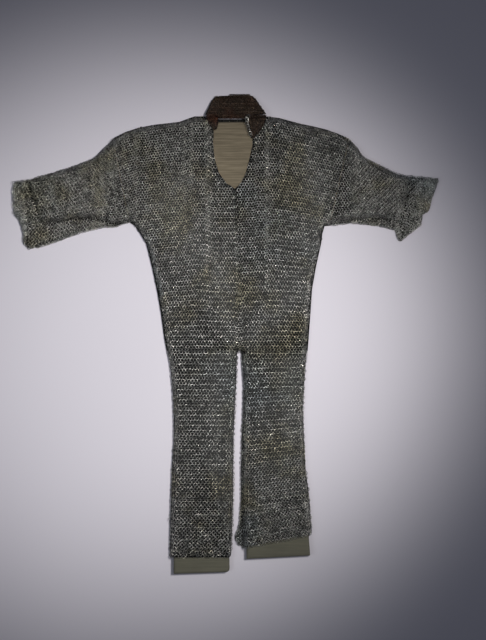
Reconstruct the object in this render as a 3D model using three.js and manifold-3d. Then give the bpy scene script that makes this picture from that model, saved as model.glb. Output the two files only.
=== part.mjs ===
// A chainmail hauberk with legs, laid flat over the linen-covered display board that it is shown on.
// Millimetres. X runs across the garment, Y from the hems to the collar, Z up from the floor.
// The mail is a wall with the board inside it: the front rides over the board, slopes down past its
// edges and meets the back, which lies on the floor. Past the board the two walls lie on each other.

import * as THREE from 'three';
import Module from 'manifold-3d';

// Driving dimensions
const MAIL_WALL = 5;          // riveted rings of 12 mm lie about 5 mm deep
const COLLAR_WALL = 6;        // denser rings, laced together
const LAYER_GAP = 0.35;       // between the front and the back where they lie on each other
const SEAM_GAP = 0.3;         // between neighbouring pieces
const BOARD_GAP = 0.5;        // between the board and the mail over it
const BOARD_THICK = 22;
const BOARD_EDGE_RADIUS = 8;  // padding rounds the upper edge
const BOARD_FOOT_BEVEL = 2;
const BOARD_MARGIN = 16;      // how far the mail reaches past the board, all round the torso
const SLOPE_ANGLE = 60;       // degrees from the floor, where the mail hangs off the board
const RIM_INSET = 5.6;        // the fold at a side is solid this far in
const RIM_WALL = 4;           // the thinnest that the mail gets beside the board
const ROUND_STEPS = 6;

const BACK_TOP = MAIL_WALL;
const BOARD_FLOOR = BACK_TOP + 0.4;
const BOARD_TOP = BOARD_FLOOR + BOARD_THICK;
const FRONT_FLOOR = BACK_TOP + LAYER_GAP;
const FLAT_TOP = FRONT_FLOOR + MAIL_WALL;
const FRONT_TOP = BOARD_TOP + BOARD_GAP + MAIL_WALL;

// Reaches of the shapes that only cut
const FAR = 1000;
const BELOW = -10;
const ABOVE = FRONT_TOP + 10;
const OPEN_REACH = 60;
const ARMHOLE_REACH = 400;
const CUFF_FLOOR_Y = 150;

// Where pieces meet
const LEG_SEAM_Y = -54;
const NECK_EDGE_Y = 690;
const BOARD_NECK_Y = 678;
const LEFT_ARMHOLE = { top: [-360, 628], foot: [-305, 356] };
const RIGHT_ARMHOLE = { top: [395, 627], foot: [330, 347] };
const CENTRE = { top: [30, 464], foot: [44, LEG_SEAM_Y] };

// Torso: the side edges, from the underarm down
const TORSO_SIDES = [
  { y: 346, left: -290, right: 318 },
  { y: 322, left: -274, right: 311 },
  { y: 290, left: -255, right: 307 },
  { y: 218, left: -237, right: 291 },
  { y: 144, left: -221, right: 278 },
  { y: 70, left: -208, right: 273 },
  { y: -13, left: -197, right: 267 },
];

// Shoulders: the upper edge, from the neck out to the armhole
const LEFT_SHOULDER = [
  { x: -66, y: 698 },
  { x: -99, y: 699 },
  { x: -149, y: 681 },
  { x: -229, y: 672 },
  { x: -280, y: 662 },
  { x: -320, y: 649 },
];
const RIGHT_SHOULDER = [
  { x: 133, y: 698 },
  { x: 171, y: 694 },
  { x: 237, y: 676 },
  { x: 285, y: 666 },
  { x: 325, y: 656 },
  { x: 362, y: 643 },
];

// Sleeves: a row for each section, from the armhole to the cuff. `low` is how far the lower edge
// hangs past the board's arm; the rows past the end of that arm lie flat.
const LEFT_SLEEVE = [
  { topX: -360, topY: 628, lowX: -305, lowY: 356, low: 17 },
  { topX: -382, topY: 604, lowX: -332, lowY: 349, low: 18 },
  { topX: -403, topY: 582, lowX: -360, lowY: 340, low: 27 },
  { topX: -428, topY: 563, lowX: -386, lowY: 342, low: 38 },
  { topX: -480, topY: 543, lowX: -428, lowY: 333, low: 53 },
  { topX: -530, topY: 527, lowX: -476, lowY: 320, low: 63 },
  { topX: -578, topY: 513, lowX: -517, lowY: 304, low: 70 },
  { topX: -626, topY: 499, lowX: -553, lowY: 291, low: 80 },
  { topX: -652, topY: 493, lowX: -597, lowY: 277, low: 84 },
];
const LEFT_ARM_ROWS = 8;
const RIGHT_SLEEVE = [
  { topX: 395, topY: 627, lowX: 330, lowY: 347, low: 18 },
  { topX: 420, topY: 603, lowX: 354, lowY: 348, low: 22 },
  { topX: 431, topY: 581, lowX: 378, lowY: 350, low: 24 },
  { topX: 458, topY: 562, lowX: 402, lowY: 355, low: 26 },
  { topX: 500, topY: 541, lowX: 452, lowY: 351, low: 32 },
  { topX: 546, topY: 517, lowX: 512, lowY: 342, low: 38 },
  { topX: 582, topY: 509, lowX: 546, lowY: 331, low: 42 },
  { topX: 626, topY: 506, lowX: 551, lowY: 307, low: 60 },
];
const RIGHT_ARM_ROWS = 7;

// Cuffs: worn, uneven edges, from the upper corner to the lower one
const LEFT_CUFF = [
  { x: -681, y: 490 },
  { x: -686, y: 461 },
  { x: -685, y: 415 },
  { x: -679, y: 384 },
  { x: -662, y: 366 },
  { x: -649, y: 325 },
  { x: -649, y: 292 },
  { x: -636, y: 273 },
];
const RIGHT_CUFF = [
  { x: 686, y: 498 },
  { x: 676, y: 470 },
  { x: 661, y: 435 },
  { x: 652, y: 394 },
  { x: 631, y: 384 },
  { x: 627, y: 346 },
  { x: 603, y: 331 },
  { x: 562, y: 296 },
];

// Legs: the outer and inner edges, from the seam down, with the board's own leg inside
const LEFT_LEG = [
  { y: -93, outer: -182, inner: 40, boardOuter: -166, boardInner: 23 },
  { y: -170, outer: -174, inner: 37, boardOuter: -158, boardInner: 21 },
  { y: -250, outer: -170, inner: 33, boardOuter: -154, boardInner: 18 },
  { y: -340, outer: -169, inner: 29, boardOuter: -153, boardInner: 14 },
  { y: -430, outer: -176, inner: 28, boardOuter: -159, boardInner: 13 },
  { y: -530, outer: -179, inner: 28, boardOuter: -163, boardInner: 13 },
  { y: -620, outer: -182, inner: 25, boardOuter: -165, boardInner: 12 },
  { y: -690, outer: -182, inner: 22, boardOuter: -166, boardInner: 12 },
];
const RIGHT_LEG = [
  { y: -93, outer: 261, inner: 49, boardOuter: 245, boardInner: 64 },
  { y: -170, outer: 256, inner: 55, boardOuter: 240, boardInner: 69 },
  { y: -250, outer: 252, inner: 52, boardOuter: 236, boardInner: 68 },
  { y: -340, outer: 256, inner: 48, boardOuter: 240, boardInner: 67 },
  { y: -430, outer: 261, inner: 46, boardOuter: 245, boardInner: 67 },
  { y: -530, outer: 273, inner: 46, boardOuter: 257, boardInner: 67 },
  { y: -610, outer: 278, inner: 41, boardOuter: 264, boardInner: 67 },
];
const LEFT_HEM = [
  { x: 18, y: -720 },
  { x: -178, y: -720 },
];
const RIGHT_HEM = [
  { x: 282, y: -646 },
  { x: 192, y: -662 },
  { x: 59, y: -690 },
  { x: 38, y: -677 },
  { x: 27, y: -654 },
];
const BOARD_LEFT_FOOT = { outer: [-166, -768], inner: [13, -762] };
const BOARD_RIGHT_FOOT = { outer: [271, -709], inner: [67, -720] };
const BOARD_FOOT_RADIUS = 11;
const SLIT = { x: 43.5, y: -62, radius: 20.5 };  // the round head of the board's slit

// The opening of the neck, down to the foot of the V
const NECK_OPENING = [
  { y: 720, left: -62, right: 112 },
  { y: 690, left: -52, right: 98 },
  { y: 648, left: -38, right: 86 },
  { y: 605, left: -40, right: 87 },
  { y: 557, left: -34, right: 76 },
  { y: 515, left: -21, right: 65 },
  { y: 482, left: 2, right: 51 },
];

// Collar: a row for each section, from its inner line to its free edge, with the underside's height.
// The back band lies open on the floor; its two ends come up onto the shoulders.
const COLLAR_BACK = [
  { inX: -63, inY: 702, inZ: 14, outX: -45, outY: 744, outZ: 6 },
  { inX: -52, inY: 701, inZ: 8, outX: -36, outY: 760, outZ: 2 },
  { inX: -22, inY: 692, inZ: 0, outX: -14, outY: 765, outZ: 0 },
  { inX: 30, inY: 692, inZ: 0, outX: 28, outY: 766, outZ: 0 },
  { inX: 74, inY: 692, inZ: 0, outX: 68, outY: 768, outZ: 0 },
  { inX: 98, inY: 701, inZ: 7, outX: 86, outY: 764, outZ: 3 },
  { inX: 117, inY: 703, inZ: 15, outX: 99, outY: 749, outZ: 8 },
  { inX: 129, inY: 704, inZ: 19, outX: 112, outY: 730, outZ: 12 },
];
const COLLAR_LEFT = [
  { inX: -27, inY: 655, inZ: 33.3, outX: -39, outY: 651, outZ: 33.3 },
  { inX: -22, inY: 676, inZ: 33.3, outX: -52, outY: 674, outZ: 33.3 },
  { inX: -22, inY: 688, inZ: 30, outX: -60, outY: 688, outZ: 30 },
  { inX: -25, inY: 700, inZ: 20, outX: -63, outY: 700, outZ: 20 },
];
const COLLAR_RIGHT = [
  { inX: 72, inY: 700, inZ: 20, outX: 131, outY: 702, outZ: 20 },
  { inX: 66, inY: 688, inZ: 30, outX: 130, outY: 688, outZ: 30 },
  { inX: 68, inY: 674, inZ: 33.3, outX: 125, outY: 674, outZ: 33.3 },
  { inX: 74, inY: 650, inZ: 33.3, outX: 112, outY: 650, outZ: 33.3 },
  { inX: 83, inY: 625, inZ: 33.3, outX: 91, outY: 627, outZ: 33.3 },
];

const wasm = await Module();
wasm.setup();

// Outlines are lists of points, counterclockwise seen from above.

const point = (x, y) => new THREE.Vector2(x, y);
const pointOf = ({ x, y }) => point(x, y);

/** Stretches an open edge, such as a cuff or a hem, outwards by `reach` along a direction. */
function pushed(rows, directionX, directionY, reach) {
  return rows.map(({ x, y }) => point(x + directionX * reach, y + directionY * reach));
}

/** The whole garment's outline. `reach` lengthens the cuffs and hems, for what opens them. */
function garmentOutline(reach = 0) {
  const sleeveTop = (rows) => rows.map((row) => point(row.topX, row.topY));
  const sleeveLow = (rows) => rows.map((row) => point(row.lowX, row.lowY));
  const legSide = (rows, side) => rows.map((row) => point(row[side], row.y));
  return [
    point(-58, NECK_EDGE_Y),
    ...LEFT_SHOULDER.map(pointOf),
    ...sleeveTop(LEFT_SLEEVE),
    ...pushed(LEFT_CUFF, -1, 0, reach),
    ...sleeveLow(LEFT_SLEEVE).reverse(),
    ...TORSO_SIDES.map(({ y, left }) => point(left, y)),
    ...legSide(LEFT_LEG, 'outer'),
    ...pushed(LEFT_HEM, 0, -1, reach).reverse(),
    ...legSide(LEFT_LEG, 'inner').reverse(),
    point(CENTRE.foot[0] - 3, LEG_SEAM_Y - 8),
    point(...CENTRE.foot),
    point(CENTRE.foot[0] + 3, LEG_SEAM_Y - 8),
    ...legSide(RIGHT_LEG, 'inner'),
    ...pushed(RIGHT_HEM, 0, -1, reach).reverse(),
    ...legSide(RIGHT_LEG, 'outer').reverse(),
    ...TORSO_SIDES.map(({ y, right }) => point(right, y)).reverse(),
    ...sleeveLow(RIGHT_SLEEVE),
    ...pushed(RIGHT_CUFF, 1, 0, reach).reverse(),
    ...sleeveTop(RIGHT_SLEEVE).reverse(),
    ...RIGHT_SHOULDER.map(pointOf).reverse(),
    point(126, NECK_EDGE_Y),
  ];
}

/** A point `distance` from the first point towards the second. */
function along(fromX, fromY, toX, toY, distance) {
  const length = Math.hypot(toX - fromX, toY - fromY);
  const share = distance / length;
  return point(fromX + (toX - fromX) * share, fromY + (toY - fromY) * share);
}

/** An arc about a centre, between two angles in degrees. */
function arc(centreX, centreY, radius, startAngle, endAngle) {
  const points = [];
  for (let step = 0; step <= ROUND_STEPS; step += 1) {
    const angle = THREE.MathUtils.degToRad(startAngle + ((endAngle - startAngle) * step) / ROUND_STEPS);
    points.push(point(centreX + radius * Math.cos(angle), centreY + radius * Math.sin(angle)));
  }
  return points;
}

/** The display board's outline: the garment's, drawn in by the margins, with its own feet. */
function boardOutline() {
  const armTop = (row) => along(row.topX, row.topY, row.lowX, row.lowY, BOARD_MARGIN);
  const armLow = (row) => along(row.lowX, row.lowY, row.topX, row.topY, row.low);
  const leftArm = LEFT_SLEEVE.slice(1, LEFT_ARM_ROWS);
  const rightArm = RIGHT_SLEEVE.slice(1, RIGHT_ARM_ROWS);
  const shoulder = ({ x, y }) => point(x, y - BOARD_MARGIN);
  const leftFoot = BOARD_LEFT_FOOT;
  const rightFoot = BOARD_RIGHT_FOOT;
  return [
    point(-50, BOARD_NECK_Y),
    ...LEFT_SHOULDER.slice(1).map(shoulder),
    ...leftArm.map(armTop),
    ...leftArm.map(armLow).reverse(),
    point(-299, 372),
    point(-276, 350),
    ...TORSO_SIDES.slice(1).map(({ y, left }) => point(left + BOARD_MARGIN, y)),
    ...LEFT_LEG.map(({ y, boardOuter }) => point(boardOuter, y)),
    point(...leftFoot.outer),
    ...arc(leftFoot.inner[0] - BOARD_FOOT_RADIUS, leftFoot.inner[1] + BOARD_FOOT_RADIUS,
      BOARD_FOOT_RADIUS, -90, 0),
    ...LEFT_LEG.map(({ y, boardInner }) => point(boardInner, y)).reverse(),
    ...arc(SLIT.x, SLIT.y, SLIT.radius, 180, 0),
    ...RIGHT_LEG.map(({ y, boardInner }) => point(boardInner, y)),
    point(...rightFoot.inner),
    point(...rightFoot.outer),
    ...RIGHT_LEG.map(({ y, boardOuter }) => point(boardOuter, y)).reverse(),
    ...TORSO_SIDES.slice(1).map(({ y, right }) => point(right - BOARD_MARGIN, y)).reverse(),
    point(306, 356),
    ...rightArm.map(armLow),
    ...rightArm.map(armTop).reverse(),
    ...RIGHT_SHOULDER.slice(1).map(shoulder).reverse(),
    point(118, BOARD_NECK_Y + 1),
  ];
}

/** Moves an outline outwards by `distance`, or inwards where it is negative, with mitred corners. */
function offsetOutline(outline, distance) {
  const count = outline.length;
  return outline.map((here, index) => {
    const before = outline[(index + count - 1) % count];
    const after = outline[(index + 1) % count];
    const edgeIn = here.clone().sub(before).normalize();
    const edgeOut = after.clone().sub(here).normalize();
    const bisector = point(edgeIn.y + edgeOut.y, -edgeIn.x - edgeOut.x).normalize();
    const slant = Math.max(0.5, bisector.x * edgeIn.y - bisector.y * edgeIn.x);
    return here.clone().addScaledVector(bisector, distance / slant);
  });
}

// Solids

/** Corners and triangles as a solid that can be cut and joined. */
function solid(positions, triangles) {
  return new wasm.Manifold(new wasm.Mesh({
    numProp: 3,
    vertProperties: new Float32Array(positions),
    triVerts: new Uint32Array(triangles),
  }));
}

/** A closed solid through outlines of equal length, one above the other. */
function stack(layers) {
  const count = layers[0].outline.length;
  const positions = layers.flatMap(({ outline, z }) => outline.flatMap(({ x, y }) => [x, y, z]));
  const triangles = [];
  for (let layer = 0; layer + 1 < layers.length; layer += 1) {
    for (let index = 0; index < count; index += 1) {
      const next = (index + 1) % count;
      const low = layer * count;
      const high = low + count;
      triangles.push(low + index, low + next, high + next, low + index, high + next, high + index);
    }
  }
  const top = (layers.length - 1) * count;
  for (const [a, b, c] of THREE.ShapeUtils.triangulateShape(layers[0].outline, [])) {
    triangles.push(a, c, b);
  }
  for (const [a, b, c] of THREE.ShapeUtils.triangulateShape(layers.at(-1).outline, [])) {
    triangles.push(top + a, top + b, top + c);
  }
  return solid(positions, triangles);
}

/** An upright prism over an outline, given either way round. */
function prism(points, low, high) {
  const outline = THREE.ShapeUtils.isClockWise(points) ? [...points].reverse() : points;
  return stack([{ outline, z: low }, { outline, z: high }]);
}

/** The surface that lies `lift` over the rounded edge of the board and slopes down to `floor`. */
function drapeLayers(board, lift, floor) {
  const radius = BOARD_EDGE_RADIUS + lift;
  const layers = [0, 22.5, 45, SLOPE_ANGLE].map((degrees) => {
    const angle = THREE.MathUtils.degToRad(degrees);
    const out = radius * Math.sin(angle) - BOARD_EDGE_RADIUS;
    return { out, z: BOARD_TOP - BOARD_EDGE_RADIUS + radius * Math.cos(angle) };
  });
  const last = layers.at(-1);
  const run = (last.z - floor) / Math.tan(THREE.MathUtils.degToRad(SLOPE_ANGLE));
  layers.push({ out: last.out + run, z: floor });
  return layers.reverse().map(({ out, z }) => ({ outline: offsetOutline(board, out), z }));
}

/** A sheet of collar through its sections, with the wall standing on the underside. */
function collarSheet(rows) {
  const across = 3;
  const positions = [];
  for (const lift of [0, COLLAR_WALL]) {
    for (const row of rows) {
      for (let step = 0; step <= across; step += 1) {
        const share = step / across;
        positions.push(
          THREE.MathUtils.lerp(row.inX, row.outX, share),
          THREE.MathUtils.lerp(row.inY, row.outY, share),
          THREE.MathUtils.lerp(row.inZ, row.outZ, share) + lift,
        );
      }
    }
  }
  const width = across + 1;
  const upper = rows.length * width;
  const triangles = [];
  const quad = (a, b, c, d) => triangles.push(a, b, c, a, c, d);
  for (let row = 0; row + 1 < rows.length; row += 1) {
    for (let step = 0; step < across; step += 1) {
      const here = row * width + step;
      quad(here, here + 1, here + width + 1, here + width);
      quad(upper + here, upper + here + width, upper + here + width + 1, upper + here + 1);
    }
    const first = row * width;
    const last = first + across;
    quad(first, first + width, upper + first + width, upper + first);
    quad(last + width, last, upper + last, upper + last + width);
  }
  const lastRow = (rows.length - 1) * width;
  for (let step = 0; step < across; step += 1) {
    quad(step + 1, step, upper + step, upper + step + 1);
    const here = lastRow + step;
    quad(here, here + 1, upper + here + 1, upper + here);
  }
  return solid(positions, triangles);
}

// The mail: one hollow shell, cut into the garment's pieces

const board = boardOutline();
const garment = garmentOutline();
const openGarment = garmentOutline(OPEN_REACH);

/** Both walls of the mail, joined at the folds and open at the cuffs and hems. */
function mailShell() {
  const flat = stack([
    { outline: offsetOutline(garment, -2.5), z: 0 },
    { outline: garment, z: 3 },
    { outline: offsetOutline(garment, -0.8), z: 6.5 },
    { outline: offsetOutline(garment, -3.6), z: FLAT_TOP },
  ]);
  const raised = stack(drapeLayers(board, BOARD_GAP + MAIL_WALL, BACK_TOP))
    .intersect(prism(garment, BELOW, ABOVE));
  const hollow = stack(drapeLayers(board, BOARD_GAP, BACK_TOP))
    .intersect(prism(offsetOutline(openGarment, -RIM_WALL), BELOW, ABOVE));
  return flat.add(raised).subtract(hollow);
}

/** Everything on the outer side of an armhole, half a seam away from it. */
function beyondArmhole({ top, foot }, side) {
  const over = along(...foot, ...top, ARMHOLE_REACH);
  const under = along(...top, ...foot, ARMHOLE_REACH - 80);
  const near = ({ x, y }) => point(x + (side * SEAM_GAP) / 2, y);
  const outline = [near(over), near(under), point(side * FAR, CUFF_FLOOR_Y), point(side * FAR, over.y)];
  return prism(outline, BELOW, ABOVE);
}

/** Everything below the waist seam, on one side of the slit between the legs. */
function legRegion(side) {
  const seamY = LEG_SEAM_Y - SEAM_GAP / 2;
  const middle = LEFT_LEG.slice(0, RIGHT_LEG.length).map((row, index) => (
    point((row.inner + RIGHT_LEG[index].inner) / 2, row.y)));
  const lobeGap = point(24.5, RIGHT_HEM.at(-1).y);
  const foot = point(24.5, -FAR);
  const slit = [point(CENTRE.foot[0], seamY), ...middle, lobeGap, foot];
  const outline = [...slit, point(side * FAR, -FAR), point(side * FAR, seamY)];
  return prism(outline, BELOW, ABOVE);
}

/** The front on one side of the line down its middle, where its two halves are joined. */
function frontHalf(side) {
  const shift = (side * SEAM_GAP) / 2;
  const foot = point(CENTRE.foot[0] + shift, CENTRE.foot[1] - 20);
  const top = point(CENTRE.top[0] + shift, CENTRE.top[1]);
  const outline = [foot, point(side * FAR, foot.y), point(side * FAR, FAR), point(top.x, FAR), top];
  return prism(outline, BELOW, ABOVE);
}

/** The V of the neck, cut through the front only. */
function neckOpening() {
  const left = NECK_OPENING.map((row) => point(row.left, row.y));
  const right = NECK_OPENING.map((row) => point(row.right, row.y));
  return prism([...left, point(...CENTRE.top), ...right.reverse()], FRONT_FLOOR - 0.1, ABOVE);
}

function mailPieces() {
  const shell = mailShell();
  const legsAndSleeves = shell.subtract(prism(offsetOutline(openGarment, -RIM_INSET), BACK_TOP, FRONT_FLOOR));
  const torso = shell
    .subtract(beyondArmhole(LEFT_ARMHOLE, -1).translate(SEAM_GAP, 0, 0))
    .subtract(beyondArmhole(RIGHT_ARMHOLE, 1).translate(-SEAM_GAP, 0, 0))
    .subtract(prism([point(-FAR, -FAR), point(FAR, -FAR),
      point(FAR, LEG_SEAM_Y + SEAM_GAP / 2), point(-FAR, LEG_SEAM_Y + SEAM_GAP / 2)], BELOW, ABOVE));
  const everywhere = [point(-FAR, -FAR), point(FAR, -FAR), point(FAR, FAR), point(-FAR, FAR)];
  const front = torso.intersect(prism(everywhere, FRONT_FLOOR, ABOVE)).subtract(neckOpening());
  return {
    front_left: front.intersect(frontHalf(-1)),
    front_right: front.intersect(frontHalf(1)),
    back: torso.intersect(prism(everywhere, BELOW, BACK_TOP)),
    sleeve_left: legsAndSleeves.intersect(beyondArmhole(LEFT_ARMHOLE, -1)),
    sleeve_right: legsAndSleeves.intersect(beyondArmhole(RIGHT_ARMHOLE, 1)),
    leg_left: legsAndSleeves.intersect(legRegion(-1)),
    leg_right: legsAndSleeves.intersect(legRegion(1)),
  };
}

/** The board: square below, with its upper edge rounded by the padding under the linen. */
function displayBoard() {
  const layers = [
    { outline: offsetOutline(board, -BOARD_FOOT_BEVEL), z: BOARD_FLOOR },
    { outline: board, z: BOARD_FLOOR + BOARD_FOOT_BEVEL },
  ];
  for (const degrees of [0, 30, 60, 90]) {
    const angle = THREE.MathUtils.degToRad(degrees);
    const inwards = BOARD_EDGE_RADIUS * (1 - Math.cos(angle));
    const z = BOARD_TOP - BOARD_EDGE_RADIUS * (1 - Math.sin(angle));
    layers.push({ outline: offsetOutline(board, -inwards), z });
  }
  return stack(layers);
}

// Materials and the group

const mail = { color: 0x6b6a64, roughness: 0.45, metalness: 0.9 };
const collarMail = { color: 0x4a3a2e, roughness: 0.6, metalness: 0.6 };
const linen = { color: 0x9a8d76, roughness: 0.95, metalness: 0 };

function named(name, part, finish) {
  const { vertProperties, triVerts } = part.getMesh();
  const geometry = new THREE.BufferGeometry();
  geometry.setAttribute('position', new THREE.BufferAttribute(vertProperties, 3));
  geometry.setIndex(new THREE.BufferAttribute(triVerts, 1));
  geometry.computeVertexNormals();
  const mesh = new THREE.Mesh(geometry, new THREE.MeshStandardMaterial(finish));
  mesh.name = name;
  return mesh;
}

const hauberk = new THREE.Group();
for (const [name, part] of Object.entries(mailPieces())) {
  hauberk.add(named(name, part, mail));
}
hauberk.add(
  named('collar_back', collarSheet(COLLAR_BACK), collarMail),
  named('collar_left', collarSheet(COLLAR_LEFT), collarMail),
  named('collar_right', collarSheet(COLLAR_RIGHT), collarMail),
  named('display_board', displayBoard(), linen),
);

export default hauberk;
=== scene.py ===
# %% [markdown]
# # A chainmail hauberk, laid flat
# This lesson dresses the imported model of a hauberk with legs, which lies over a board covered in
# linen. The model gives every place and size. Here its plain walls turn into thousands of real
# rings, each turned and set down by the wall that it stands for.

import math
import random

import bmesh
import bpy
from mathutils import Matrix, Vector
from mathutils.bvhtree import BVHTree


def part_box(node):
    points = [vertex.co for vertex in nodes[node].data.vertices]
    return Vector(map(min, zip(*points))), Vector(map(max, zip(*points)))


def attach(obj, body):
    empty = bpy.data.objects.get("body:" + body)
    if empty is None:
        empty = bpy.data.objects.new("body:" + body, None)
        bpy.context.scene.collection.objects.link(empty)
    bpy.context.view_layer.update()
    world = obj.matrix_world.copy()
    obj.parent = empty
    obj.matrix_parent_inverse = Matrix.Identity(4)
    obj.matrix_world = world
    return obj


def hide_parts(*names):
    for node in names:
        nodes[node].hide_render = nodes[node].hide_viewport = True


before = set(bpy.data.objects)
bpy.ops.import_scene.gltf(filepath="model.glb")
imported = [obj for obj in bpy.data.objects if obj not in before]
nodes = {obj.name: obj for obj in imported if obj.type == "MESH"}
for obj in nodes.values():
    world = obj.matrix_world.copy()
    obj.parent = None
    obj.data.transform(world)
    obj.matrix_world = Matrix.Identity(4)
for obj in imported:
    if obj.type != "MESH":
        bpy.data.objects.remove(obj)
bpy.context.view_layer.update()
MM = 0.001
print("nodes:", sorted(nodes))

# %% [markdown]
# ## The camera
# The garment is seen from straight above, as on a copy stand. A camera that isn't turned looks
# down already, with +Y up in the picture, so only its place and its lens are needed. A long lens
# from far up keeps the near and far edges of the garment at one scale.

# %% The camera
VIEW_CENTRE = (0.056, 0.0448)
VIEW_LENGTH = 2.048
CAMERA_HEIGHT = 4.5
CLOTH_HEIGHT = 20 * MM
SENSOR = 36
camera_data = bpy.data.cameras.new("camera")
camera_data.sensor_width = SENSOR
camera_data.lens = SENSOR * CAMERA_HEIGHT / VIEW_LENGTH
camera = bpy.data.objects.new("camera", camera_data)
bpy.context.scene.collection.objects.link(camera)
camera.location = (*VIEW_CENTRE, CAMERA_HEIGHT + CLOTH_HEIGHT)
bpy.context.scene.camera = camera
print("lens:", round(camera_data.lens, 1), "mm")

# %% [markdown]
# ## Two small helpers for nodes
# A node tree can be clicked together or written. Written as plain sums it stays readable, so a
# wire is wrapped in a class whose operators each add one Math node. Everything that isn't a sum
# comes from one method: a node's type, its settings, and then the values or wires of its sockets.


# %% A wire that can be used in sums
class Wire:
    """The output of a node. Sums with it add Math nodes."""

    def __init__(self, graph, socket):
        self.graph = graph
        self.socket = socket

    def maths(self, operation, first, second):
        return self.graph.node("ShaderNodeMath", {"operation": operation}, {0: first, 1: second})

    def __add__(self, other):
        return self.maths("ADD", self, other)

    def __sub__(self, other):
        return self.maths("SUBTRACT", self, other)

    def __mul__(self, other):
        return self.maths("MULTIPLY", self, other)

    def __rsub__(self, other):
        return self.maths("SUBTRACT", other, self)

    __radd__ = __add__
    __rmul__ = __mul__


class Graph:
    """A node tree, emptied and then written node by node."""

    def __init__(self, tree):
        self.tree = tree
        tree.nodes.clear()

    def node(self, kind, settings=None, sockets=None, out=0):
        made = self.tree.nodes.new(kind)
        for name, value in (settings or {}).items():
            setattr(made, name, value)
        for name, value in (sockets or {}).items():
            if isinstance(value, Wire):
                self.tree.links.new(value.socket, made.inputs[name])
            else:
                made.inputs[name].default_value = value
        return Wire(self, made.outputs[out]) if made.outputs else made

    def blend(self, share, first, second):
        """One colour turning into another."""
        sockets = {0: share, 6: first, 7: second}
        return self.node("ShaderNodeMix", {"data_type": "RGBA"}, sockets, out=2)

    def between(self, value, low, high, to_low=0.0, to_high=1.0):
        """Stretches a range of values onto another, and keeps what falls outside at its ends."""
        return self.node(
            "ShaderNodeMapRange",
            {"interpolation_type": "SMOOTHSTEP"},
            {0: value, 1: low, 2: high, 3: to_low, 4: to_high},
        )

    def noise(self, place, scale, detail=2.0, rough=0.5):
        sockets = {"Vector": place, "Scale": scale, "Detail": detail, "Roughness": rough}
        return self.node("ShaderNodeTexNoise", {}, sockets)

    def bump(self, height, strength, distance):
        """A normal that is tilted by a height, up to a distance in metres."""
        sockets = {"Strength": strength, "Distance": distance, "Height": height}
        return self.node("ShaderNodeBump", {}, sockets)


# %% [markdown]
# ## The steel of the rings
# Old riveted rings are iron: grey where hands have rubbed them, brown where they have rusted, with
# patches that lean to olive and to blue. A number kept on each ring makes the rings differ from
# one another, and slow noise over the whole garment makes the patches.


# %% The steel
def material_graph(name):
    material = bpy.data.materials.new(name)
    material.use_nodes = True
    return material, Graph(material.node_tree)


def finish_material(graph, shader):
    graph.node("ShaderNodeOutputMaterial", {}, {"Surface": shader})


def ring_metal(name, plain, stained, cool, shine):
    """Iron wire: two slow patterns of colour, a fine scale of oxide, and a tone for each ring."""
    material, graph = material_graph(name)
    place = graph.node("ShaderNodeTexCoord", out="Object")
    tone = graph.node("ShaderNodeAttribute", {"attribute_name": "tone"}, out=2)
    stain = graph.between(graph.noise(place, 7.0, 4.0, 0.6), 0.45, 0.68)
    chill = graph.between(graph.noise(place, 3.1, 2.0, 0.5), 0.5, 0.7)
    oxide = graph.noise(place, 420.0, 3.0, 0.6)
    colour = graph.blend(stain * 0.8, plain, stained)
    colour = graph.blend(chill * 0.6, colour, cool)
    dark = graph.between(tone * 0.75 + oxide * 0.5, 0.15, 1.0, 0.3, 1.5)
    colour = graph.node("ShaderNodeVectorMath", {"operation": "SCALE"}, {0: colour, 3: dark})
    bump = graph.bump(oxide, 0.25, 0.2 * MM)
    shader = graph.node(
        "ShaderNodeBsdfPrincipled",
        {},
        {
            "Base Color": colour,
            "Metallic": 0.95,
            "Roughness": graph.between(oxide, 0.3, 0.7, shine, shine + 0.22),
            "Normal": bump,
        },
    )
    finish_material(graph, shader)
    return material


STEEL = ring_metal(
    "mail_steel", (0.44, 0.435, 0.405, 1), (0.40, 0.365, 0.24, 1), (0.33, 0.38, 0.41, 1), 0.20
)
COLLAR_STEEL = ring_metal(
    "collar_steel", (0.12, 0.085, 0.062, 1), (0.17, 0.065, 0.04, 1), (0.075, 0.075, 0.05, 1), 0.26
)
print("metals:", STEEL.name, COLLAR_STEEL.name)

# %% [markdown]
# ## The dark between the rings
# What shows through the openings of mail is the next layer down and its shadow, never bright
# cloth. A thin dark skin on the form of the wall is painted shade for that shadowed depth, with
# small painted glints where the rings below would catch light. It also closes the view from the
# side.


# %% The dark skin's material
# The deep colour is painted shade, the dark of the shadowed openings between the rings.
def painted_shade_skin(name, deep, painted_glint):
    material, graph = material_graph(name)
    place = graph.node("ShaderNodeTexCoord", out="Object")
    cells = graph.node(
        "ShaderNodeTexVoronoi",
        {"feature": "DISTANCE_TO_EDGE"},
        {"Vector": place, "Scale": 150.0, "Randomness": 0.55},
    )
    # The cell edges stand for the wires of the rings below and also drive the bump.
    wire = graph.between(cells, 0.05, 0.11, 1.0, 0.0)
    glint_patch = graph.noise(place, 60.0, 2.0)
    # Along the cell edges, in slow patches, the dark colour turns lighter: painted glints of the
    # rings below.
    colour = graph.blend(wire * graph.between(glint_patch, 0.35, 0.7), deep, painted_glint)
    bump = graph.bump(wire, 0.5, 0.6 * MM)
    shader = graph.node(
        "ShaderNodeBsdfPrincipled",
        {},
        {"Base Color": colour, "Metallic": 0.4, "Roughness": 0.55, "Normal": bump},
    )
    finish_material(graph, shader)
    return material


# Both skins are painted shade for the openings of the mail and of the collar.
MAIL_PAINTED_SHADE = painted_shade_skin("mail_painted_shade", (0.004, 0.004, 0.0035, 1), (0.022, 0.022, 0.020, 1))
COLLAR_PAINTED_SHADE = painted_shade_skin("collar_painted_shade", (0.006, 0.004, 0.003, 1), (0.03, 0.02, 0.012, 1))

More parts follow.
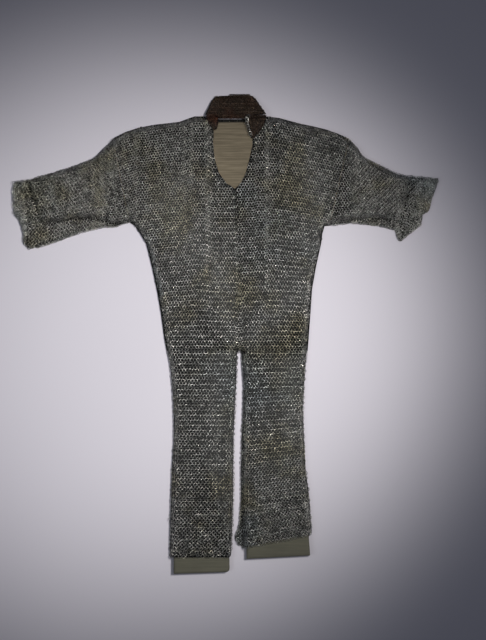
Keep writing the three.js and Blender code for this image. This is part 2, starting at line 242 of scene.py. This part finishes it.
# %% [markdown]
# ## The linen
# The board wears a tight cover of unbleached linen. Its yarns cross at a little over a millimetre,
# and thicker slubs run along the weft. Waves in two directions make the weave, and noise that is
# stretched along X makes the slubs. Toward the foot the cloth is greener and darker.


# %% The linen
YARNS = 260.0


def linen_cloth():
    material, graph = material_graph("linen")
    place = graph.node("ShaderNodeTexCoord", out="Object")
    weave = 0.0
    for direction in ("X", "Y"):
        yarn = graph.node(
            "ShaderNodeTexWave",
            {"bands_direction": direction},
            {
                "Vector": place,
                "Scale": YARNS,
                "Distortion": 1.6,
                "Detail": 2.0,
                "Detail Scale": 1.5,
            },
            out=1,
        )
        weave = yarn * 0.5 + weave
    stretched = graph.node(
        "ShaderNodeMapping", {}, {"Vector": place, "Scale": (9.0, 190.0, 190.0)}
    )
    slub = graph.noise(stretched, 1.0, 3.0, 0.65)
    cloud = graph.noise(place, 9.0, 3.0)
    across = graph.node("ShaderNodeSeparateXYZ", {}, {"Vector": place}, out="Y")
    low = graph.between(across, -0.55, -0.25, 1.0, 0.0)
    slub = graph.between(slub, 0.3, 0.7)
    colour = graph.blend(slub, (0.115, 0.093, 0.060, 1), (0.20, 0.165, 0.11, 1))
    colour = graph.blend(low * 0.7, colour, (0.10, 0.105, 0.078, 1))
    shade = graph.between(weave * 0.5 + cloud * 0.5, 0.2, 0.8, 0.72, 1.18)
    colour = graph.node("ShaderNodeVectorMath", {"operation": "SCALE"}, {0: colour, 3: shade})
    bump = graph.bump(weave + slub, 0.6, 0.5 * MM)
    shader = graph.node(
        "ShaderNodeBsdfPrincipled", {}, {"Base Color": colour, "Roughness": 0.9, "Normal": bump}
    )
    finish_material(graph, shader)
    return material


LINEN = linen_cloth()
for material_slot in nodes["display_board"].material_slots:
    material_slot.material = LINEN

# %% [markdown]
# ## One ring
# A ring is a loop of wire whose ends are flattened, lapped and riveted. A small circle, spun once
# round an axis beside it, makes the loop, and the lap is a thicker stretch of it. Thousands of
# copies follow, so a ring has only a few dozen faces, and those underneath have fewer.

# %% One ring
RING_RADIUS = 5.38 * MM
WIRE = 1.62 * MM
RING_REACH = RING_RADIUS + WIRE / 2
COLLAR_RADIUS = 3.9 * MM
COLLAR_WIRE = 1.5 * MM


def make_ring(name, around, sides, radius=RING_RADIUS, wire=WIRE, lap=1.35):
    """A ring in the XY plane, with its own map rolled out flat."""
    bm = bmesh.new()
    stand = Matrix.Translation((radius, 0, 0)) @ Matrix.Rotation(math.pi / 2, 4, "X")
    bmesh.ops.create_circle(bm, segments=sides, radius=wire / 2, matrix=stand)
    bmesh.ops.spin(
        bm, geom=bm.verts[:] + bm.edges[:], cent=(0, 0, 0), axis=(0, 0, 1),
        angle=2 * math.pi, steps=around, use_merge=True,
    )
    bmesh.ops.remove_doubles(bm, verts=bm.verts, dist=wire / 100)
    bmesh.ops.recalc_face_normals(bm, faces=bm.faces)
    lapped = [v for v in bm.verts if abs(math.atan2(v.co.y, v.co.x)) < math.pi / around]
    bmesh.ops.scale(
        bm, vec=(lap, lap, lap), verts=lapped, space=Matrix.Translation((-radius, 0, 0))
    )
    chart = bm.loops.layers.uv.new("OFBake")
    for face in bm.faces:
        face.smooth = True
        for loop in face.loops:
            loop[chart].uv = unrolled(loop.vert.co, face.calc_center_median(), radius)
    mesh = bpy.data.meshes.new(name)
    bm.to_mesh(mesh)
    bm.free()
    return bpy.data.objects.new(name, mesh)


def unrolled(corner, middle, radius):
    """A corner's place on a map where the ring is cut open and rolled out flat."""
    place = []
    for at, of_face in zip(turns(corner, radius), turns(middle, radius)):
        near = of_face + (at - of_face + 0.5) % 1.0 - 0.5
        place.append(near)
    return place


def turns(point, radius):
    """The turn round the ring and the turn round its wire, each from 0 to 1."""
    out = math.hypot(point.x, point.y) - radius
    return math.atan2(point.y, point.x) / math.tau % 1.0, math.atan2(point.z, out) / math.tau % 1.0


TOP_RING = make_ring("ring_top", around=8, sides=3)
UNDER_RING = make_ring("ring_under", around=6, sides=3)
COLLAR_RING = make_ring(
    "ring_collar", around=8, sides=3, radius=COLLAR_RADIUS, wire=COLLAR_WIRE
)
print("faces of a ring:", len(TOP_RING.data.polygons), "and", len(UNDER_RING.data.polygons))

# %% [markdown]
# ## Where the rings go
# In this mail each ring holds two in the row above and two in the row below. Rings of one row all
# lean to one side, and those of the next row lean to the other. Rows bend with the garment, so a
# ring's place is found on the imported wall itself: a ray from above gives the point and the
# normal, and the distance walked over the surface, not the plain distance, sets the next ring.

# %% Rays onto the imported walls
TOP, UNDER = 1, -1


def tree_of(name):
    mesh = nodes[name].data
    mesh.calc_loop_triangles()
    points = [v.co for v in mesh.vertices]
    return BVHTree.FromPolygons(points, [t.vertices for t in mesh.loop_triangles])


MAIL_NODES = [
    "back", "front_left", "front_right", "sleeve_left", "sleeve_right", "leg_left", "leg_right",
]
COLLAR_NODES = ["collar_back", "collar_left", "collar_right"]
trees = {name: tree_of(name) for name in MAIL_NODES + COLLAR_NODES}


def land(names, x, y, side):
    """The point, normal and piece met by a ray at x, y from above (TOP) or below (UNDER)."""
    found = None
    for name in names:
        hit, normal, _, _ = trees[name].ray_cast(Vector((x, y, side)), Vector((0, 0, -side)))
        if hit is not None and (found is None or hit.z * side > found[0].z * side):
            found = (hit, normal, name)
    return found


# %% [markdown]
# ## Setting a ring down
# A ring sinks into its wall until its wire is flush with the surface, leans to its row's side and
# gets small errors of its own, as hand work does. Toward a cuff or a hem, where nothing holds the
# last rings, the errors grow. A ring near the floor is lifted until it rests on it.

# %% A heap of rings for each piece
dice = random.Random(11)
heaps = {}
DEEP = {TOP: 2.4 * MM, UNDER: 3.0 * MM}
LEAN = {TOP: 24.0, UNDER: 17.0}
CLEAR = 0.2 * MM
LOOSENING = 2.2
LEAN_ERROR = 4
TILT_ERROR = 5
SLIP_ERROR = 0.4
SIZE_RANGE = (0.97, 1.05)


class Heap:
    """The rings of one piece, before they are made."""

    def __init__(self):
        self.places, self.turns, self.sizes, self.tones = [], [], [], []

    def add(self, centre, turn, size, tone):
        self.places.append(centre)
        self.turns.append(turn.to_euler())
        self.sizes.append(size)
        self.tones.append(tone)


def set_ring(heap, point, normal, along, lean, deep, loose, reach=RING_REACH, size=1.0):
    """Adds one ring: `along` is the row's direction, and `lean` its angle in degrees."""
    normal = normal.normalized()
    along = (along - normal * along.dot(normal)).normalized()
    up = normal.cross(along)
    wobble = 1 + LOOSENING * loose
    angle = math.radians(lean + dice.uniform(-LEAN_ERROR, LEAN_ERROR) * wobble)
    axis = (normal * math.cos(angle) + along * math.sin(angle)).normalized()
    tilt = math.radians(dice.uniform(-TILT_ERROR, TILT_ERROR))
    axis = (axis + up * tilt * wobble).normalized()
    side = (along - axis * along.dot(axis)).normalized()
    turn = Matrix((side, axis.cross(side), axis)).transposed()
    turn = turn @ Matrix.Rotation(dice.uniform(0, math.tau), 3, "Z")
    slip = [dice.uniform(-SLIP_ERROR, SLIP_ERROR) * MM * wobble for _ in range(3)]
    centre = point - normal * deep + along * slip[0] + up * slip[1] + normal * slip[2] * 0.5
    size *= dice.uniform(*SIZE_RANGE)
    lowest = centre.z - reach * size * math.sqrt(max(0.0, 1 - axis.z**2)) - WIRE / 2 * abs(axis.z)
    if lowest < CLEAR:
        centre = centre + Vector((0, 0, CLEAR - lowest))
    heap.add(centre, turn, size, dice.random())


# %% [markdown]
# ## Walking a row
# A row is a curve over the garment. The walk goes along it in short steps, adds up the distance
# over the surface, and drops a ring each time another pitch is done. The ends of a row stay half
# a ring inside the outline, because a ring reaches out from its middle.

# %% Walking a row
STEP = 1.5 * MM
EDGE = 5.0 * MM
RIM = 3.0 * MM
LEAP = 9.0 * MM


def trace(names, curve, start, stop, side):
    """The stretch of a row that lies on these pieces: distances, places, normals and pieces."""
    found, distance, before = [], 0.0, None
    steps = int(abs(stop - start) / STEP)
    for i in range(steps + 1):
        x = start + (stop - start) * i / steps
        met = land(names, x, curve(x), side)
        if met and before:
            distance += min((met[0] - before[0]).length, LEAP)
        else:
            distance += STEP
        before = met
        if met:
            found.append((distance, *met))
    return found


def lay_row(names, curve, start, stop, side, pitch, phase, lean, loose=None, inset=0.0):
    """Drops rings along one row. The pitch and the looseness may change from place to place."""
    track = trace(names, curve, start, stop, side)
    if len(track) < 4:
        return 0
    onward = 1 if stop > start else -1
    first = track[0][0] + inset if inset else 0.0
    target, end, count = first + phase * pitch(track[0][1]), track[-1][0] - EDGE, 0
    for i, (distance, point, normal, name) in enumerate(track):
        if distance < target:
            continue
        while target <= distance:
            target += pitch(point)
        inside = all(land(names, point.x + d, curve(point.x + d), side) for d in (-RIM, RIM))
        if distance > end or not inside:
            continue
        ahead = track[min(i + 2, len(track) - 1)][1] - track[max(i - 2, 0)][1]
        heap = heaps.setdefault((name, side), Heap())
        slack = loose(point) if loose else 0.0
        set_ring(heap, point, normal, ahead * onward, lean, DEEP[side], slack)
        count += 1
    return count


# %% [markdown]
# ## The torso and the sleeves
# These are one fabric: the upper rows of the body run on into the sleeves. They are level at the
# middle and fall toward the armholes, because the shoulders are lower there. So each upright line
# over the garment gets the same number of rows, shared out by the distance over its surface. Past
# the armpit only the upper rows go on, between the lower and the upper edge of the sleeve.

# %% Upright lines and the rows across them
LEG_SEAM = -54 * MM
TORSO_TOP = 715 * MM
CUFF_X = 690 * MM
LINE_EVERY = 12 * MM
ARMPIT_X = {-1: -305 * MM, 1: 330 * MM}
ARMPIT_Y = {-1: 356 * MM, 1: 347 * MM}
BODY_ROWS = {TOP: 94, UNDER: 86}


def upright(names, x, side):
    """An upright line over these pieces: its heights and the distances over the surface."""
    line, distance, last = [], 0.0, None
    steps = int((TORSO_TOP - LEG_SEAM) / (2 * STEP))
    for i in range(steps + 1):
        y = LEG_SEAM + (TORSO_TOP - LEG_SEAM) * i / steps
        met = land(names, x, y, side)
        if met:
            step = met[0] - last if last else Vector()
            distance += step.length if step.length < LEAP else abs(step.y)
            last = met[0]
            line.append((y, distance))
    return line


def height_at(line, distance):
    """The height at a distance along an upright line, also a little past its ends."""
    if distance < 0:
        return line[0][0] + distance
    for (y0, d0), (y1, d1) in zip(line, line[1:]):
        if d1 >= distance:
            return y0 + (y1 - y0) * (distance - d0) / max(d1 - d0, 1e-9)
    return line[-1][0] + distance - line[-1][1]


def body_heights(line, rows):
    """The rows' heights on a line that crosses the body, counted from the leg seam."""
    flat_run = line[0][0] - LEG_SEAM
    pitch = (flat_run + line[-1][1] - EDGE) / (rows - 0.5)
    return [height_at(line, (j + 0.5) * pitch - flat_run) for j in range(rows)]


def sleeve_heights(line, rows, first):
    """The rows' heights on a line that crosses a sleeve, from the row at the armpit upward."""
    pitch = (line[-1][1] - 2 * EDGE) / (rows - 1 - first)
    return [height_at(line, EDGE + (j - first) * pitch) for j in range(rows)]


def body_rows(names, side):
    """One curve for each row of the body and the sleeves: its height at any x."""
    rows = BODY_ROWS[side]
    first = {}
    for arm, x in ARMPIT_X.items():
        heights = body_heights(upright(names, x, side), rows)
        above = sum(y < ARMPIT_Y[arm] + EDGE for y in heights)
        first[arm] = above
    count = int(2 * CUFF_X / LINE_EVERY)
    columns = []
    for i in range(count + 1):
        x = -CUFF_X + 2 * CUFF_X * i / count
        line = upright(names, x, side)
        arm = 1 if x > 0 else -1
        if len(line) < 10:
            columns.append(None)
        elif x * arm > ARMPIT_X[arm] * arm:
            columns.append(sleeve_heights(line, rows, first[arm]))
        else:
            columns.append(body_heights(line, rows))
    known = [i for i, c in enumerate(columns) if c]
    columns = [columns[min(known, key=lambda k: abs(k - i))] for i in range(count + 1)]

    def curve(j):
        def at(x):
            i = min(max((x + CUFF_X) / (2 * CUFF_X) * count, 0), count - 1e-6)
            k = int(i)
            return columns[k][j] + (columns[k + 1][j] - columns[k][j]) * (i - k)
        return at

    return [curve(j) for j in range(rows)]


# %% [markdown]
# The pitch along a row grows toward the hips and toward the cuffs, where the mail hangs more
# open. A row is laid from the middle outward, once to the left and once to the right.

# %% Laying the body


def ramp(value, low, high):
    return min(max((value - low) / (high - low), 0.0), 1.0)


def body_pitch(point):
    hips = 1.2 * ramp(-point.y, -0.15, 0.05)
    cuffs = 2.2 * ramp(abs(point.x), 0.33, 0.66)
    return (9.0 + hips + cuffs) * MM


def cuff_slack(point):
    return ramp(abs(point.x), 0.56, 0.67) ** 2


def middle_x(y):
    """The line down the middle of the front, which leans a little."""
    return (44 - 14 * ramp(y, LEG_SEAM, 0.464)) * MM


PIECES = {
    TOP: ["front_left", "front_right", "sleeve_left", "sleeve_right"],
    UNDER: ["back", "sleeve_left", "sleeve_right"],
}
for side, names in PIECES.items():
    laid = 0
    measured = names if side == UNDER else names + ["back"]
    for j, curve in enumerate(body_rows(measured, side)):
        odd = j % 2
        middle = middle_x(curve(0.035))
        lean = LEAN[side] if odd else -LEAN[side]
        for stop, phase in ((-CUFF_X, 0.0), (CUFF_X, 1.0)):
            shift = 0.5 if odd else phase
            laid += lay_row(
                names, curve, middle, stop, side, body_pitch, shift, lean, cuff_slack
            )
    print("body and sleeves, side", side, "rings:", laid)

# %% [markdown]
# ## The legs
# A leg's rows are level at the seam and follow the hem at the foot. They are counted from the
# slit outward, so that the free edge along the slit is neat. Toward the hem the rows lie closer
# and the rings further apart, where the mail is pulled sideways.

# %% The legs
LEGS = {
    "leg_left": dict(slit=46, outer=-200, hem=((-178, -718), (18, -718)), pitches=(10.0, 12.2)),
    "leg_right": dict(slit=20, outer=290, hem=((59, -690), (282, -646)), pitches=(10.0, 11.0)),
}
LEG_ROWS = {TOP: 88, UNDER: 76}
CLOSER = 0.28


def lay_leg(name, side):
    leg = LEGS[name]
    (x0, y0), (x1, y1) = leg["hem"]
    rows = LEG_ROWS[side]
    runs = [1 - CLOSER * ((j + 0.5) / rows) ** 2 for j in range(rows)]
    low, high = leg["pitches"][1], leg["pitches"][0]

    def hem(x):
        return (y0 + (y1 - y0) * ramp(x, x0 * MM, x1 * MM)) * MM + EDGE

    def pitch(point):
        return (low + (high - low) * ramp(point.y, -0.70, LEG_SEAM)) * MM

    def slack(point):
        return ramp(-point.y, 0.56, 0.70) ** 2

    laid = 0
    for j in range(rows):
        share = (sum(runs[:j]) + runs[j] / 2) / sum(runs)

        def curve(x, share=share):
            return LEG_SEAM + (hem(x) - LEG_SEAM) * share

        odd = j % 2
        lean = LEAN[side] if odd else -LEAN[side]
        laid += lay_row(
            [name], curve, leg["slit"] * MM, leg["outer"] * MM, side, pitch,
            0.5 if odd else 0.0, lean, slack, inset=EDGE,
        )
    return laid


for side in (TOP, UNDER):
    for name in LEGS:
        print(name, side, "rings:", lay_leg(name, side))

# %% [markdown]
# ## The collar
# The collar is denser and older work: smaller, browner rings laced into level rows, so close that
# each row looks like a cord. Its rings lean steeply, and each row leans against the next. Its
# flap at the right ends in a selvedge of larger, brighter rings that hang down its free edge.

# %% The collar
COLLAR_ROW = 6.4 * MM
COLLAR_PITCH = 4.4 * MM
COLLAR_REACH = 4.6 * MM
COLLAR_LEAN = 42.0
COLLAR_LOST = 0.02
SELVEDGE = ((73, 697), (68, 686), (69, 672), (75, 650), (84, 626))
for name in COLLAR_NODES:
    low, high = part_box(name)
    for side in (TOP, UNDER):
        heap = heaps.setdefault((name, side), Heap())
        for j in range(int((high.y - low.y) / COLLAR_ROW) + 1):
            y = low.y + (j + 0.5) * COLLAR_ROW
            for i in range(int((high.x - low.x) / COLLAR_PITCH) + 1):
                x = low.x + (i + 0.5 * (j % 2)) * COLLAR_PITCH
                met = land([name], x, y, side)
                near = [land([name], x + d, y, side) for d in (-2 * MM, 2 * MM)]
                if met is None or None in near or dice.random() < COLLAR_LOST:
                    continue
                lean = COLLAR_LEAN if j % 2 else -COLLAR_LEAN
                set_ring(heap, met[0], met[1], Vector((1, 0, 0)), lean, 3 * MM, 0.3, COLLAR_REACH)
        print(name, side, "rings:", len(heap.places))

selvedge = heaps.setdefault(("selvedge", TOP), Heap())
for (x0, y0), (x1, y1) in zip(SELVEDGE, SELVEDGE[1:]):
    for share in (0.0, 0.33, 0.67):
        x, y = (x0 + (x1 - x0) * share) * MM, (y0 + (y1 - y0) * share) * MM
        met = land(["collar_right"], x, y, TOP)
        if met:
            run = Vector((x1 - x0, y1 - y0, 0))
            set_ring(selvedge, met[0], met[1], run, 30.0, 0.5 * MM, 0.6)
print("selvedge rings:", len(selvedge.places))

# %% [markdown]
# ## Making the rings
# Thousands of objects would be slow, and the part is kept as meshes. So the places become a cloud
# of points, Geometry Nodes put a ring on each, and the result is made real as one mesh. Each ring
# also gets a small square of a colour map to itself.


# %% Making the rings
CELL_EDGE = 0.05
CELL_FILL = 1 - 2 * CELL_EDGE


def ring_nodes(name, ring, cells):
    group = bpy.data.node_groups.new(name, "GeometryNodeTree")
    group.interface.new_socket("Points", in_out="INPUT", socket_type="NodeSocketGeometry")
    group.interface.new_socket("Rings", in_out="OUTPUT", socket_type="NodeSocketGeometry")
    graph = Graph(group)

    def named(attribute, kind):
        settings = {"data_type": kind}
        return graph.node("GeometryNodeInputNamedAttribute", settings, {"Name": attribute})

    shape = graph.node("GeometryNodeObjectInfo", {}, {"Object": ring}, out="Geometry")
    turn = graph.node("FunctionNodeEulerToRotation", {}, {0: named("turn", "FLOAT_VECTOR")})
    placed = graph.node(
        "GeometryNodeInstanceOnPoints",
        {},
        {
            "Points": graph.node("NodeGroupInput"),
            "Instance": shape,
            "Rotation": turn,
            "Scale": named("size", "FLOAT"),
        },
    )
    real = graph.node("GeometryNodeRealizeInstances", {}, {0: placed})
    inside = graph.node(
        "ShaderNodeVectorMath",
        {"operation": "MULTIPLY_ADD"},
        {
            0: named("OFBake", "FLOAT_VECTOR"),
            1: (CELL_FILL, CELL_FILL, 0.0),
            2: named("cell", "FLOAT_VECTOR"),
        },
    )
    spot = graph.node(
        "ShaderNodeVectorMath", {"operation": "SCALE"}, {0: inside, "Scale": 1.0 / cells}
    )
    kept = graph.node(
        "GeometryNodeStoreNamedAttribute",
        {"data_type": "FLOAT2", "domain": "CORNER"},
        {"Geometry": real, "Name": "OFBake", "Value": spot},
    )
    graph.node("NodeGroupOutput", {}, {0: kept})
    return group


def make_rings(name, heap, ring, metal):
    """One mesh of all the rings in a heap, riding on the root."""
    count = len(heap.places)
    cells = math.ceil(math.sqrt(count))
    corners = [(i % cells + CELL_EDGE, i // cells + CELL_EDGE, 0) for i in range(count)]
    cloud = bpy.data.meshes.new(name + "_points")
    cloud.from_pydata(heap.places, [], [])
    for attribute, kind, values in (
        ("turn", "FLOAT_VECTOR", [tuple(t) for t in heap.turns]),
        ("size", "FLOAT", heap.sizes),
        ("tone", "FLOAT", heap.tones),
        ("cell", "FLOAT_VECTOR", corners),
    ):
        layer = cloud.attributes.new(attribute, kind, "POINT")
        for item, value in zip(layer.data, values):
            setattr(item, "vector" if kind == "FLOAT_VECTOR" else "value", value)
    source = bpy.data.objects.new(name + "_points", cloud)
    bpy.context.scene.collection.objects.link(source)
    maker = source.modifiers.new("rings", "NODES")
    maker.node_group = ring_nodes(name, ring, cells)
    finished = source.evaluated_get(bpy.context.evaluated_depsgraph_get())
    mesh = bpy.data.meshes.new_from_object(finished)
    for spare in ("turn", "size", "cell"):
        if spare in mesh.attributes:
            mesh.attributes.remove(mesh.attributes[spare])
    bpy.data.objects.remove(source)
    mesh.materials.clear()
    mesh.materials.append(metal)
    piece = bpy.data.objects.new(name, mesh)
    bpy.context.scene.collection.objects.link(piece)
    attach(piece, "root")
    return piece


rings = {}
for (name, side), heap in heaps.items():
    collar = name in COLLAR_NODES
    ring = COLLAR_RING if collar else (TOP_RING if side == TOP else UNDER_RING)
    metal = COLLAR_STEEL if collar else STEEL
    title = f"rings_{name}" + ("" if side == TOP or name == "back" else "_under")
    piece = make_rings(title, heap, ring, metal)
    rings.setdefault(name, []).append(piece)
    print(title, len(heap.places), "rings,", len(piece.data.polygons) * 2, "triangles")


# %% [markdown]
# ## The dark skins, painted shade
# Each skin takes the outer faces of its packed wall, moves them inward under the rings and gets a
# thickness below a millimetre. A face is an outer one if a ray along its normal leaves the piece
# for good. At the cuffs and hems the skin stops short, so that only rings make the edge. A skin
# is painted shade: its dark colour stands for the shadow in the openings between the rings.


# %% The dark skins
SKIN_DEPTH = 4.2 * MM
SKIN_WALL = 0.8 * MM
UPWARD = 0.2
END_ACROSS = 0.98
END_ALONG = 0.9999


def make_skin(node, material, slot, cuts, depth=SKIN_DEPTH, up_only=False):
    bm = bmesh.new()
    bm.from_mesh(nodes[node].data)
    bmesh.ops.remove_doubles(bm, verts=bm.verts, dist=0.01 * MM)
    inner = []
    for face in bm.faces:
        start = face.calc_center_median() + face.normal * 0.05 * MM
        if up_only:
            hidden = face.normal.z < UPWARD
        else:
            hidden = trees[node].ray_cast(start, face.normal)[0] is not None
        end = abs(face.normal.y) > END_ACROSS or abs(face.normal.x) > END_ALONG
        if hidden or end:
            inner.append(face)
    bmesh.ops.delete(bm, geom=inner, context="FACES")
    for point, outward in cuts:
        bmesh.ops.bisect_plane(
            bm, geom=bm.verts[:] + bm.edges[:] + bm.faces[:], plane_co=Vector(point) * MM,
            plane_no=outward, clear_outer=True,
        )
    bm.normal_update()
    moves = {v: v.normal * depth for v in bm.verts}
    for v, move in moves.items():
        v.co -= move
    bmesh.ops.solidify(bm, geom=bm.faces[:], thickness=SKIN_WALL)
    for face in bm.faces:
        face.smooth = True
    mesh = bpy.data.meshes.new("skin_" + node)
    bm.to_mesh(mesh)
    bm.free()
    mesh.materials.append(material)
    skin = bpy.data.objects.new("skin_" + node, mesh)
    bpy.context.scene.collection.objects.link(skin)
    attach(skin, "root")
    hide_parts(node)
    laid_area = sum(p.area for p in mesh.polygons) / 2
    print("skin", node, len(mesh.polygons), "faces", round(laid_area, 4), "m2")
    return skin


SKINS = {
    "back": dict(flat=(0.755, 0.753), area=0.40, up_only=True, depth=0.0),
    "front_left": dict(flat=(0.43, 0.78), area=0.21, up_only=True),
    "front_right": dict(flat=(0.40, 0.78), area=0.19, up_only=True),
    "sleeve_left": dict(flat=(0.40, 0.66), area=0.17, cuts=[((-672, 0, 0), (-1, 0, 0))]),
    "sleeve_right": dict(flat=(0.38, 0.60), area=0.13, cuts=[((640, 0, 0), (1, 0, 0))]),
    "leg_left": dict(flat=(0.50, 0.69), area=0.32, cuts=[((0, -713, 0), (0, -1, 0))]),
    "leg_right": dict(flat=(0.50, 0.64), area=0.30, cuts=[((170, -660, 0), (0.194, -0.981, 0))]),
    "collar_back": dict(flat=(0.21, 0.08), area=0.0135, up_only=True),
    "collar_left": dict(flat=(0.045, 0.055), area=0.0016, up_only=True),
    "collar_right": dict(flat=(0.07, 0.08), area=0.0032, up_only=True),
}
for name, facts in SKINS.items():
    collar = name in COLLAR_NODES
    facts = {"cuts": [], **facts}
    flat, area = facts.pop("flat"), facts.pop("area")
    skin = make_skin(
        name, COLLAR_PAINTED_SHADE if collar else MAIL_PAINTED_SHADE, "collar_mail" if collar else "mail", **facts
    )

# %% [markdown]
# ## Floor and light
# The object lies on a plain pale floor. One soft lamp stands to the right of the middle and a
# weaker one fills from the left, so slopes that face left fall into shade. Both are aimed a
# little left of the middle and fade outward, so the corners of the floor are dim.


# %% Floor and light
def floor():
    bm = bmesh.new()
    bmesh.ops.create_circle(bm, cap_ends=True, segments=64, radius=14.0)
    mesh = bpy.data.meshes.new("floor")
    bm.to_mesh(mesh)
    bm.free()
    material, graph = material_graph("floor")
    place = graph.node("ShaderNodeTexCoord", out="Object")
    cloud = graph.noise(place, 1.2, 2.0)
    colour = graph.blend(cloud, (0.64, 0.61, 0.66, 1), (0.68, 0.65, 0.70, 1))
    shader = graph.node("ShaderNodeBsdfPrincipled", {}, {"Base Color": colour, "Roughness": 0.8})
    finish_material(graph, shader)
    mesh.materials.append(material)
    ground = bpy.data.objects.new("floor", mesh)
    ground.location.z = -0.3 * MM
    bpy.context.scene.collection.objects.link(ground)


def lamp(name, place, aim, radius, power, colour, cone):
    data = bpy.data.lights.new(name, "SPOT")
    data.shadow_soft_size = radius
    data.energy = power
    data.color = colour
    data.spot_size = math.radians(cone)
    data.spot_blend = 1.0
    light = bpy.data.objects.new(name, data)
    light.location = place
    light.rotation_euler = (Vector(aim) - Vector(place)).to_track_quat("-Z", "Y").to_euler()
    bpy.context.scene.collection.objects.link(light)


floor()
lamp(
    "key", place=(1.1, 0.35, 2.7), aim=(-0.20, -0.02, 0.0), radius=0.25, power=345,
    colour=(1.0, 0.985, 0.97), cone=44,
)
lamp(
    "fill", place=(-1.6, -0.6, 2.6), aim=(-0.16, -0.02, 0.0), radius=0.45, power=58,
    colour=(0.92, 0.96, 1.0), cone=46,
)
world = bpy.data.worlds.new("studio")
bpy.context.scene.world = world
world.use_nodes = True
sky = Graph(world.node_tree)
light = sky.node("ShaderNodeBackground", {}, {"Color": (0.60, 0.65, 0.80, 1), "Strength": 0.13})
sky.node("ShaderNodeOutputWorld", {}, {"Surface": light})
bpy.context.scene.view_settings.view_transform = "Standard"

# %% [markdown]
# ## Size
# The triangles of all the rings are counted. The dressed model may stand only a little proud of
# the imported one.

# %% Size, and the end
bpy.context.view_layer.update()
total = sum(len(o.data.polygons) * 2 for group in rings.values() for o in group)
print("ring triangles in all:", total)
